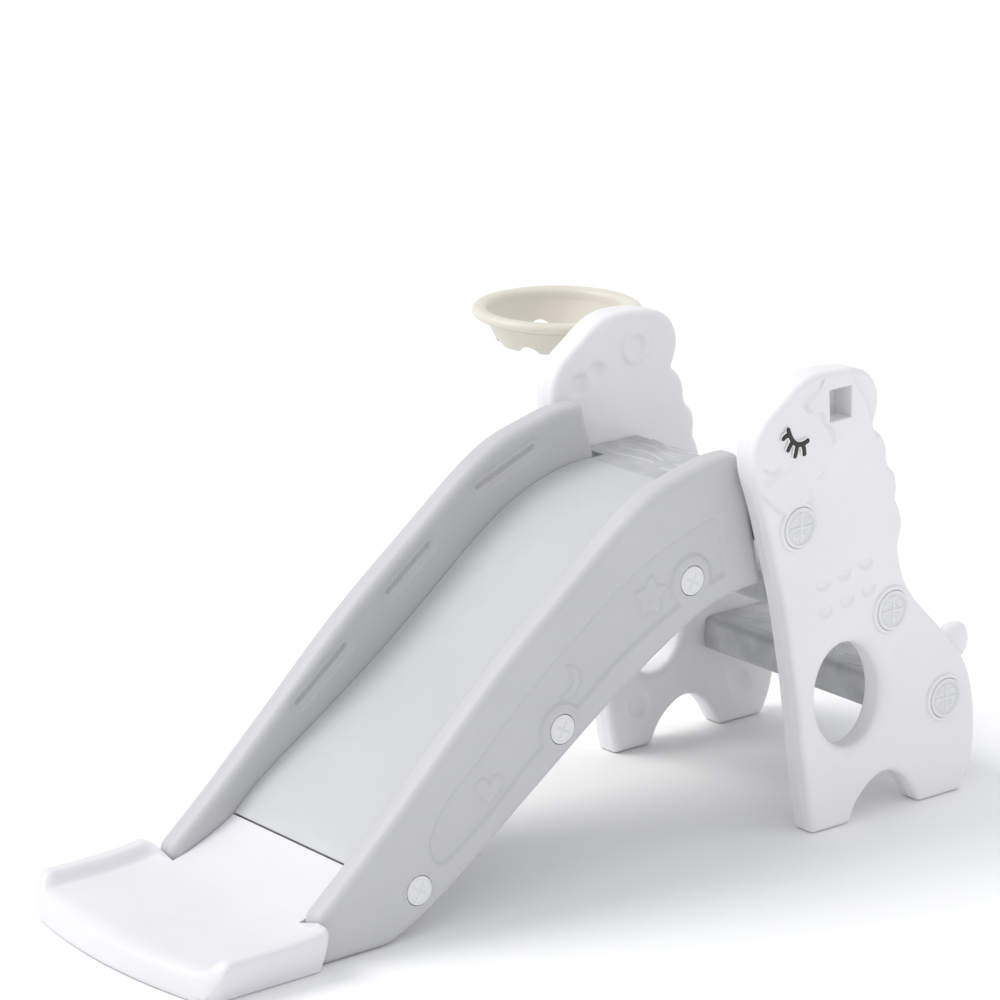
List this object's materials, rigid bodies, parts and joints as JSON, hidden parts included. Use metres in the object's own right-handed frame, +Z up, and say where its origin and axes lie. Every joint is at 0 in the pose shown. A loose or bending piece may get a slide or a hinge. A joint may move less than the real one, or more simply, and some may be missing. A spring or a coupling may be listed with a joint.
{
  "type": "toddler slide",
  "caption": "Indoor toddler slide with two animal-shaped side panels, steps, a railed chute, a lipped floor tray and a small plug-in basketball hoop.",
  "frame": {"origin": "on the floor, in the middle of the overall box (tray nose to lower step, hoop's rim to right panel)", "axes": "+Z up, the chute runs down towards -Y, the panel with the empty hoop socket is on +X and the hoop is on -X"},
  "size_m": [0.688, 1.276, 0.6275],
  "materials": {
    "panel_white": "satin moulded polyethylene",
    "rail_grey": "satin moulded polyethylene",
    "board_grey": "smooth moulded polyethylene",
    "tray_white": "smooth moulded polyethylene",
    "step_grey": "satin moulded polyethylene",
    "eye_black": "black inlay",
    "bolt_white": "moulded nylon",
    "bush_grey": "moulded nylon",
    "hoop_beige": "satin moulded polypropylene"
  },
  "bodies": {
    "slide": {"side_panel_left": "panel_white", "side_panel_right": "panel_white", "eye_inlay_left": "eye_black", "eye_inlay_right": "eye_black", "chute_rail_left": "rail_grey", "chute_rail_right": "rail_grey", "slide_board": "board_grey", "exit_tray": "tray_white", "lower_step": "step_grey", "upper_step": "step_grey", "top_platform": "step_grey", "platform_bolts": "bolt_white", "platform_bushes": "bush_grey", "upper_step_bolts": "bolt_white", "upper_step_bushes": "bush_grey", "lower_step_bolts": "bolt_white", "lower_step_bushes": "bush_grey", "rail_screws_top": "bolt_white", "rail_bushes_top": "bush_grey", "rail_screws_middle": "bolt_white", "rail_bushes_middle": "bush_grey", "rail_screws_bottom": "bolt_white", "rail_bushes_bottom": "bush_grey"},
    "hoop": {"hoop": "hoop_beige"}
  },
  "joints": [
    {"name": "hoop_pull", "type": "slide", "parent": "slide", "child": "hoop", "axis": [-1, 0, 0], "range_m": [0, 0.06]}
  ]
}
